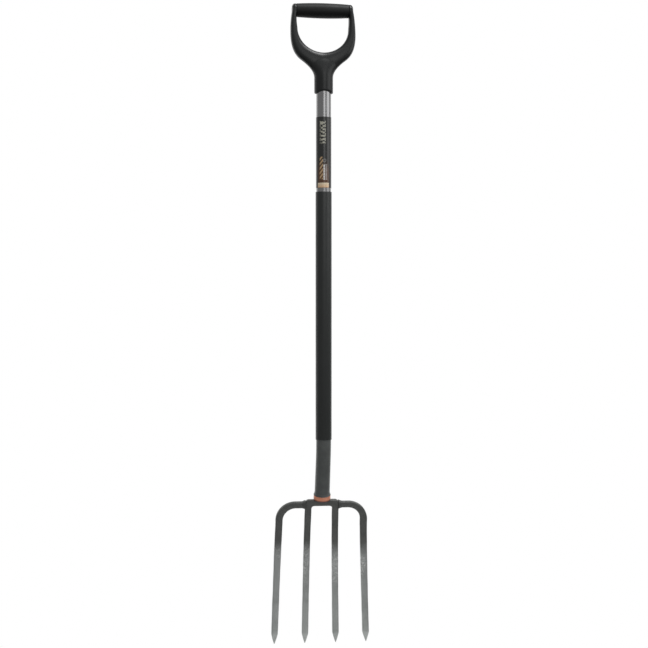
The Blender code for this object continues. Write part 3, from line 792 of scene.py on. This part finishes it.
def weld_ring(x, middle, swell, t):
    """One loop of the bead, with the overlapping scallops of its passes."""
    half = OUTER_CROSS_HEIGHT / 2 + swell
    plain = bar_section((x, middle - half), (x, middle + half), BAR_HALF_DEPTH + swell, BAR_CORNER + swell)
    ripple = WELD_RIPPLE * math.sqrt(max(0, swell / WELD_SWELL))
    loop = []
    for (px, depth, station), turn in zip(plain, circle_angles(len(plain))):
        wave = ripple * abs(math.sin(WELD_SCALLOPS * turn + WELD_TWIST * t))
        shrink = 1 - wave / math.hypot(depth, station - middle)
        loop.append((px, depth * shrink, middle + (station - middle) * shrink))
    return loop


def tang_weld(name, side):
    """A rippled fillet bead in the corner between the tang's underside and the crosspiece's face."""
    face = BAR_HALF_DEPTH + GAP
    turns = np.linspace(0, math.pi / 2, TANG_WELD_ARC_STEPS)
    bulge = [(math.cos(turn) ** TANG_WELD_FLATNESS, math.sin(turn) ** TANG_WELD_FLATNESS) for turn in turns]
    rings = []
    for x in np.linspace(-1, 1, TANG_WELD_STEPS):
        size = TANG_WELD_END + (1 - TANG_WELD_END) * math.sqrt(max(0, 1 - x**TANG_WELD_SQUARENESS))
        ripple = 1 + TANG_WELD_RIPPLE * abs(math.sin(x * TANG_WELD_HALF_LENGTH / WELD_PITCH * math.pi))
        leg = TANG_WELD_LEG * size * ripple
        corners = [(0, 0)] + [(leg * out, leg * down) for out, down in bulge]
        across = x * TANG_WELD_HALF_LENGTH
        rings.append([(across, side * (face + out), CROSS_TOP - down) for out, down in corners])
    return skin(name, rings)


# ---- Finishes ----


def add(tree, kind, inputs, output=0, **settings):
    """A node's output. An input may be a value or another node's output."""
    node = tree.nodes.new(kind)
    for name, value in settings.items():
        setattr(node, name, value)
    for key, value in inputs.items():
        if isinstance(value, bpy.types.NodeSocket):
            tree.links.new(value, node.inputs[key])
        else:
            node.inputs[key].default_value = value
    return node.outputs[output]


def maths(tree, operation, *values):
    return add(tree, "ShaderNodeMath", dict(enumerate(values)), operation=operation)


def step(tree, value, low, high):
    """0 below low and 1 above high, smoothly in between. low may be above high."""
    inputs = {"Value": value, "From Min": low, "From Max": high}
    return add(tree, "ShaderNodeMapRange", inputs, interpolation_type="SMOOTHSTEP")


def spread(tree, value, low, high, to_low, to_high):
    """value, from low to high, mapped to a new range."""
    inputs = {"Value": value, "From Min": low, "From Max": high, "To Min": to_low, "To Max": to_high}
    return add(tree, "ShaderNodeMapRange", inputs)


def blend(tree, factor, a, b, mode="MIX"):
    inputs = {0: factor, 6: a, 7: b}
    return add(tree, "ShaderNodeMix", inputs, output=2, data_type="RGBA", blend_type=mode)


def grey(value):
    return (value, value, value, 1)


def object_coords(tree):
    return add(tree, "ShaderNodeTexCoord", {}, output="Object")


def scaled(tree, coords, scale):
    return add(tree, "ShaderNodeMapping", {"Vector": coords, "Scale": scale})


def layout_coords(tree):
    """x, depth and station of the point, in millimetres."""
    attribute = add(tree, "ShaderNodeAttribute", {}, output="Vector", attribute_name=LAYOUT)
    split = tree.nodes.new("ShaderNodeSeparateXYZ")
    tree.links.new(attribute, split.inputs[0])
    return [maths(tree, "DIVIDE", axis, MM) for axis in split.outputs]


def noise(tree, coords, scale, detail=3.0, rough=0.5, distortion=0.0):
    inputs = {
        "Vector": coords,
        "Scale": scale,
        "Detail": detail,
        "Roughness": rough,
        "Distortion": distortion,
    }
    return add(tree, "ShaderNodeTexNoise", inputs)


def cells(tree, coords, scale, output="Distance"):
    return add(tree, "ShaderNodeTexVoronoi", {"Vector": coords, "Scale": scale}, output=output)


def bump(tree, height, distance, strength=1.0, under=None):
    inputs = {"Height": height, "Distance": distance, "Strength": strength}
    if under:
        inputs["Normal"] = under
    return add(tree, "ShaderNodeBump", inputs)


def new_look(name, **values):
    """A material with its shader's own values set, its tree and its shader."""
    made = bpy.data.materials.new(name)
    made.use_nodes = True
    shader = made.node_tree.nodes["Principled BSDF"]
    for key, value in values.items():
        shader.inputs[key.replace("_", " ")].default_value = value
    return made, made.node_tree, shader


def drive(tree, shader, **links):
    for key, output in links.items():
        tree.links.new(output, shader.inputs[key.replace("_", " ")])


def moulded_plastic(name, tones, rough, specular, grain_scale, grain_depth):
    """Black plastic with a fine spark-eroded grain, slight mottling and rubbed patches."""
    made, tree, shader = new_look(name, Specular_IOR_Level=specular)
    coords = object_coords(tree)
    grain = noise(tree, coords, grain_scale, 2)
    pits = cells(tree, coords, grain_scale * 0.8)
    height = maths(tree, "ADD", maths(tree, "MULTIPLY", grain, 0.6), maths(tree, "MULTIPLY", pits, 0.5))
    cloud = noise(tree, coords, 38, 4, 0.6)
    tone = blend(tree, step(tree, cloud, 0.3, 0.7), *tones)
    speck = spread(tree, grain, 0.35, 0.7, 0.86, 1.16)
    colour = blend(tree, 1.0, tone, as_colour(tree, speck), "MULTIPLY")
    mottled = spread(tree, cloud, 0.3, 0.7, rough + 0.04, rough - 0.04)
    rubbed = step(tree, noise(tree, coords, 21, 5, 0.62, 0.4), 0.52, 0.74)
    roughness = maths(tree, "SUBTRACT", mottled, maths(tree, "MULTIPLY", rubbed, 0.07))
    normal = bump(tree, height, grain_depth, 0.55)
    drive(tree, shader, Base_Color=colour, Roughness=roughness, Normal=normal)
    return made


def as_colour(tree, value):
    return add(tree, "ShaderNodeCombineColor", {0: value, 1: value, 2: value})


def tube_paint():
    """Silver metallic paint with fine flakes, and the head's dark coating on the neck below the sleeve."""
    made, tree, shader = new_look("tube_paint", Coat_Weight=0.2, Coat_Roughness=0.12)
    coords = object_coords(tree)
    dipped = step(tree, layout_coords(tree)[2], *DIP_FADE)
    flakes = cells(tree, coords, FLAKE_SCALE)
    flake_tone = cells(tree, coords, FLAKE_SCALE, output="Color")
    peel = noise(tree, coords, 260, 2)
    cloud = noise(tree, coords, 60, 4, 0.6)
    drawn = noise(tree, scaled(tree, coords, (900, 900, 9)), 1, 3)
    silver = blend(tree, spread(tree, drawn, 0.3, 0.7, 0, 1), *TUBE_SILVER)
    coating = blend(tree, step(tree, cloud, 0.3, 0.7), *NECK_COATING)
    colour = blend(tree, 0.08, blend(tree, dipped, silver, coating), flake_tone, "SOFT_LIGHT")
    flaked = spread(tree, flakes, 0, 0.6, 0.17, 0.22)
    roughness = maths(tree, "ADD", flaked, maths(tree, "MULTIPLY", dipped, 0.22))
    metallic = spread(tree, dipped, 0, 1, 0.9, 0.3)
    normal = bump(tree, peel, 0.01 * MM, 0.4, bump(tree, flakes, 0.003 * MM, 0.3))
    drive(tree, shader, Base_Color=colour, Roughness=roughness, Metallic=metallic, Normal=normal)
    return made


def inside(tree, value, low, high, soft=0.18):
    """1 where value lies between low and high, with an edge soft millimetres to either side."""
    above = step(tree, value, low - soft, low + soft)
    below = step(tree, value, high + soft, high - soft)
    return maths(tree, "MULTIPLY", above, below)


def panel(tree, u, v, across, along):
    return maths(tree, "MULTIPLY", inside(tree, u, *across), inside(tree, v, *along))


def repeat(tree, value, pitch, duty, soft=0.08):
    """Bars along value, one each pitch, each duty of it wide."""
    phase = maths(tree, "FRACT", maths(tree, "DIVIDE", value, pitch))
    return maths(tree, "MULTIPLY", step(tree, phase, 0, soft), step(tree, phase, duty + soft, duty))


def ring_mark(tree, u, v, centre, radius, line):
    """A thin circle."""
    across = maths(tree, "SUBTRACT", u, centre[0])
    along = maths(tree, "SUBTRACT", v, centre[1])
    squares = [maths(tree, "MULTIPLY", offset, offset) for offset in (across, along)]
    out = maths(tree, "SQRT", maths(tree, "ADD", *squares))
    return inside(tree, out, radius - line / 2, radius + line / 2)


def any_of(tree, first, *others):
    for other in others:
        first = maths(tree, "MAXIMUM", first, other)
    return first


def both(tree, first, *others):
    for other in others:
        first = maths(tree, "MULTIPLY", first, other)
    return first


def broken_column(tree, u, v):
    """Two broken rails with staggered blocks between them, and a solid cap."""
    rails = any_of(tree, inside(tree, u, *LEFT_RAIL), inside(tree, u, *RIGHT_RAIL))
    rails = both(tree, rails, repeat(tree, v, *RAIL_BEAT))
    left = both(tree, inside(tree, u, *LEFT_BLOCKS), repeat(tree, v, *LEFT_BLOCK_BEAT))
    shifted = maths(tree, "ADD", v, RIGHT_BLOCK_SHIFT)
    right = both(tree, inside(tree, u, *RIGHT_BLOCKS), repeat(tree, shifted, *RIGHT_BLOCK_BEAT))
    marks = both(tree, any_of(tree, rails, left, right), inside(tree, v, *COLUMN_SPAN))
    return any_of(tree, marks, panel(tree, u, v, *COLUMN_CAP))


def gold_strip(tree, u, v):
    """Slanted bands in an upright strip."""
    slant = maths(tree, "SUBTRACT", v, maths(tree, "MULTIPLY", u, GOLD_SLANT))
    return both(tree, repeat(tree, slant, *GOLD_BEAT), panel(tree, u, v, *GOLD_STRIP))


def white_marks(tree, u, v):
    """A column of long dashes beside one of short dashes, and a small ring over them."""
    bars = both(tree, panel(tree, u, v, *LONG_DASHES), repeat(tree, v, *LONG_DASH_BEAT))
    dashes = both(tree, panel(tree, u, v, *SHORT_DASHES), repeat(tree, v, *SHORT_DASH_BEAT))
    crest = ring_mark(tree, u, v, CREST_CENTRE, CREST_RADIUS, CREST_LINE)
    dashes = maths(tree, "MULTIPLY", dashes, DASH_STRENGTH)
    return any_of(tree, bars, dashes, maths(tree, "MULTIPLY", crest, CREST_STRENGTH))


def label_film():
    """Gloss black film with plain geometric marks, a red-brown glow behind them and an orange band."""
    made, tree, shader = new_look("label_film", Coat_Weight=0.6, Coat_Roughness=0.06)
    x, depth, v = layout_coords(tree)
    turn = maths(tree, "ARCTAN2", x, maths(tree, "MULTIPLY", depth, -1))
    u = maths(tree, "MULTIPLY", maths(tree, "ADD", turn, LABEL_TURN), (TUBE_RADIUS + GAP) / MM)
    coords = object_coords(tree)
    wear = noise(tree, coords, 420, 4, 0.6)
    worn = spread(tree, wear, 0.25, 0.6, 0.65, 1)
    glow = both(tree, step(tree, v, *GLOW_FADE), inside(tree, u, *GLOW_SPAN, soft=GLOW_EDGE))
    band_tone = blend(tree, spread(tree, v, *BAND_FADE, 0, 1), *BAND_ORANGE)
    colour = blend(tree, glow, *FILM_TONES)
    colour = blend(tree, maths(tree, "MULTIPLY", broken_column(tree, u, v), worn), colour, PRINT_PALE)
    colour = blend(tree, maths(tree, "MULTIPLY", gold_strip(tree, u, v), GOLD_STRENGTH), colour, PRINT_GOLD)
    colour = blend(tree, white_marks(tree, u, v), colour, PRINT_WHITE)
    colour = blend(tree, panel(tree, u, v, *BAND), colour, band_tone)
    roughness = spread(tree, wear, 0.3, 0.7, 0.24, 0.34)
    normal = bump(tree, noise(tree, coords, 150, 2), 0.03 * MM, 0.5)
    drive(tree, shader, Base_Color=colour, Roughness=roughness, Normal=normal)
    return made


def ring_plastic():
    """Satin orange plastic, with painted shade: darker and redder towards its lower edge, which stands in
    shadow.
    """
    made, tree, shader = new_look("ring_plastic")
    coords = object_coords(tree)
    cloud = noise(tree, coords, 90, 4, 0.6)
    tone = blend(tree, spread(tree, cloud, 0.3, 0.7, 0, 1), *RING_ORANGE)
    # Painted shade: the ring darkens and reddens towards its lower edge.
    colour = blend(tree, step(tree, layout_coords(tree)[2], *RING_PAINTED_SHADE_FADE), tone, RING_PAINTED_SHADE)
    roughness = spread(tree, cloud, 0.3, 0.7, 0.36, 0.46)
    normal = bump(tree, noise(tree, coords, 2200, 2), 0.03 * MM, 0.5)
    drive(tree, shader, Base_Color=colour, Roughness=roughness, Normal=normal)
    return made


def head_steel():
    """Dark coating that fades, in an uneven front with flecks, to ground steel down the tines."""
    made, tree, shader = new_look("head_steel")
    coords = object_coords(tree)
    station = layout_coords(tree)[2]
    broad = noise(tree, coords, 45, 4, 0.6)
    fine = noise(tree, coords, 700, 3, 0.6)
    streak = noise(tree, scaled(tree, coords, (1500, 1500, 60)), 1, 3, 0.6)
    shift = maths(tree, "MULTIPLY", maths(tree, "SUBTRACT", broad, 0.5), COATING_WANDER)
    flecks = maths(tree, "MULTIPLY", maths(tree, "SUBTRACT", fine, 0.5), COATING_FLECKS)
    front = maths(tree, "ADD", maths(tree, "ADD", station, shift), flecks)
    bare = step(tree, front, *COATING_FADE)
    coating = blend(tree, step(tree, broad, 0.3, 0.7), *HEAD_COATING)
    stain = step(tree, noise(tree, coords, 26, 5, 0.65), 0.42, 0.72)
    colour = blend(tree, bare, coating, blend(tree, stain, *GROUND_STEEL))
    glint = maths(tree, "MULTIPLY", glints(tree, coords, station), step(tree, front, *GLINT_FADE))
    colour = blend(tree, glint, colour, STEEL_GLINT)
    coated_rough = spread(tree, fine, 0.3, 0.7, 0.42, 0.54)
    steel_rough = spread(tree, streak, 0.3, 0.7, 0.36, 0.5)
    roughness = add(tree, "ShaderNodeMix", {0: bare, 2: coated_rough, 3: steel_rough}, data_type="FLOAT")
    metallic = spread(tree, bare, 0, 1, 0.35, 0.95)
    scuffs = bump(tree, fine, 0.06 * MM, 0.45, bump(tree, broad, 0.4 * MM, 0.3))
    normal = bump(tree, streak, 0.04 * MM, 0.5, scuffs)
    drive(tree, shader, Base_Color=colour, Roughness=roughness, Metallic=metallic, Normal=normal)
    return made


def glints(tree, coords, station):
    """Bright nicks: clusters of them in the worn zone, and a few finer ones everywhere."""
    patches = step(tree, noise(tree, coords, 19, 2), 0.4, 0.6)
    worn = both(tree, inside(tree, station, *WORN_SPAN, soft=WORN_EDGE), patches)
    nicks = both(tree, step(tree, noise(tree, coords, 560, 3, 0.75), 0.5, 0.58), worn)
    fine = step(tree, noise(tree, coords, 1500, 2, 0.7), 0.6, 0.72)
    return any_of(tree, nicks, maths(tree, "MULTIPLY", fine, 0.5))


def weld_steel():
    """Painted bead: the head's coating, rougher, in two tones that vary in cloudy patches."""
    made, tree, shader = new_look("weld_steel", Metallic=0.35)
    coords = object_coords(tree)
    fine = noise(tree, coords, 900, 4, 0.65)
    cloud = noise(tree, coords, 160, 3, 0.6)
    colour = blend(tree, step(tree, cloud, 0.35, 0.65), *WELD_COATING)
    roughness = spread(tree, fine, 0.3, 0.7, 0.44, 0.6)
    drive(tree, shader, Base_Color=colour, Roughness=roughness, Normal=bump(tree, fine, 0.08 * MM, 0.6))
    return made


def bright_steel():
    """Zinc-plated steel with fine turning marks."""
    made, tree, shader = new_look("bright_steel", Metallic=1.0)
    coords = object_coords(tree)
    marks = noise(tree, scaled(tree, coords, (2400, 300, 2400)), 1, 3)
    cloud = noise(tree, coords, 240, 4, 0.6)
    colour = blend(tree, step(tree, cloud, 0.35, 0.7), *ZINC)
    roughness = spread(tree, marks, 0.3, 0.7, 0.24, 0.38)
    drive(tree, shader, Base_Color=colour, Roughness=roughness, Normal=bump(tree, marks, 0.03 * MM, 0.5))
    return made


def build_tool():
    plastic = moulded_plastic("handle_plastic", HANDLE_BLACK, **HANDLE_FINISH)
    rubber = moulded_plastic("grip_rubber", GRIP_BLACK, **GRIP_FINISH)
    charcoal = moulded_plastic("sleeve_plastic", SLEEVE_BLACK, **SLEEVE_FINISH)
    steel = head_steel()
    bead = weld_steel()
    bright = bright_steel()
    finished(handle(), plastic, "handle_plastic", "handle_frame", smooth_angle=HANDLE_SMOOTH_ANGLE)
    finished(grip(), rubber, "grip_rubber", "grip_sleeve")
    finished(screw(), bright, "bare_steel", "handle_screw")
    finished(tube(), tube_paint(), "tube_paint", "shaft_tube")
    finished(label(), label_film(), "label_film", "label_wrap")
    finished(sleeve(), charcoal, "sleeve_plastic", "shaft_sleeve")
    finished(ring(), ring_plastic(), "ring_plastic", "joint_ring")
    finished(bow(), steel, "head_paint", "inner_tine_bow")
    for side, word in ((-1, "left"), (1, "right")):
        finished(outer_tine(f"tine_{word}", side), steel, "head_paint", f"outer_tine_{word}")
        finished(tine_weld(f"weld_{word}", side), bead, "weld_steel", f"tine_weld_{word}")
    for side, word in ((-1, "front"), (1, "back")):
        finished(tang_weld(f"tang_bead_{word}", side), bead, "weld_steel", f"tang_weld_{word}")
    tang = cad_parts["head_tang"]
    tang.data.materials.clear()
    tang.data.materials.append(bright)


# ---- Camera and studio ----


def shaft_axis():
    low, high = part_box("shaft_sleeve")
    return Vector(((low.x + high.x) / 2, (low.y + high.y) / 2, 0))


def direction(azimuth):
    """Horizontally outwards from the tool. Azimuth 0 is its front and 90 degrees its right."""
    return Vector((math.sin(azimuth), -math.cos(azimuth), 0))


def facing(place, target):
    return (target - place).to_track_quat("-Z", "Y").to_euler()


def add_camera():
    data = bpy.data.cameras.new("camera")
    data.sensor_width = CAMERA_SENSOR
    data.lens = CAMERA_LENS
    camera = bpy.data.objects.new("camera", data)
    camera.location = shaft_axis() + CAMERA_DISTANCE * direction(CAMERA_AZIMUTH)
    camera.location.z = CAMERA_HEIGHT
    aim = shaft_axis() + CAMERA_AIM[0] * direction(CAMERA_AZIMUTH + math.pi / 2)
    aim.z = CAMERA_AIM[1]
    camera.rotation_euler = facing(camera.location, aim)
    bpy.context.scene.collection.objects.link(camera)
    bpy.context.scene.camera = camera


def add_light(name, azimuth, distance, height, size, power, aim):
    """A soft rectangular light at an azimuth in degrees, which faces the shaft at height aim."""
    data = bpy.data.lights.new(name, "AREA")
    data.shape = "RECTANGLE"
    data.size, data.size_y = size
    data.energy = power
    light = bpy.data.objects.new(name, data)
    light.location = shaft_axis() + distance * direction(math.radians(azimuth))
    light.location.z = height
    light.rotation_euler = facing(light.location, shaft_axis() + Vector((0, 0, aim)))
    bpy.context.scene.collection.objects.link(light)


def add_world():
    """A white backdrop, and a room round the tool: dim in front, darker low down and bright behind."""
    world = bpy.data.worlds.new("studio")
    world.use_nodes = True
    tree = world.node_tree
    tree.nodes.clear()
    path = tree.nodes.new("ShaderNodeLightPath")
    way = tree.nodes.new("ShaderNodeSeparateXYZ")
    tree.links.new(add(tree, "ShaderNodeTexCoord", {}, output="Generated"), way.inputs[0])
    room = blend(tree, step(tree, way.outputs[2], *ROOM_DUSK), grey(ROOM_LOW), grey(ROOM_MIDDLE))
    room = blend(tree, step(tree, way.outputs[2], *ROOM_DAWN), room, grey(ROOM_HIGH))
    room = blend(tree, step(tree, way.outputs[1], *ROOM_BACK), room, grey(1))
    seen = add(tree, "ShaderNodeBackground", {"Color": grey(1), "Strength": 1.0})
    lit = add(tree, "ShaderNodeBackground", {"Color": room, "Strength": 1.0})
    mixed = add(tree, "ShaderNodeMixShader", {0: path.outputs["Is Camera Ray"], 1: lit, 2: seen})
    output = tree.nodes.new("ShaderNodeOutputWorld")
    tree.links.new(mixed, output.inputs["Surface"])
    bpy.context.scene.world = world


def add_floor():
    """A plain pale round floor a little below the hanging tool."""
    look, tree, shader = new_look("floor_paint", Roughness=0.7)
    mottle = noise(tree, object_coords(tree), 30, 3)
    drive(tree, shader, Base_Color=blend(tree, mottle, *map(grey, FLOOR_GREYS)))
    shape = bmesh.new()
    bmesh.ops.create_circle(shape, cap_ends=True, segments=ROUND_SIDES, radius=FLOOR_RADIUS)
    mesh = bpy.data.meshes.new("floor")
    shape.to_mesh(mesh)
    shape.free()
    mesh.materials.append(look)
    floor = mesh_object("floor", mesh)
    floor.location = shaft_axis() + Vector((0, 0, cad_low.z - FLOOR_DROP))


def build_studio():
    add_camera()
    add_floor()
    add_world()
    add_light("key", azimuth=66, distance=2.0, height=0.45, size=(1.8, 1.3), power=7.8, aim=-0.2)
    add_light("front", azimuth=6, distance=2.2, height=0.45, size=(1.05, 1.3), power=4.4, aim=-0.2)
    add_light("top", azimuth=48, distance=0.8, height=2.0, size=(1.0, 1.0), power=31, aim=-0.3)
    bpy.context.scene.view_settings.view_transform = "Standard"


build_tool()
build_studio()
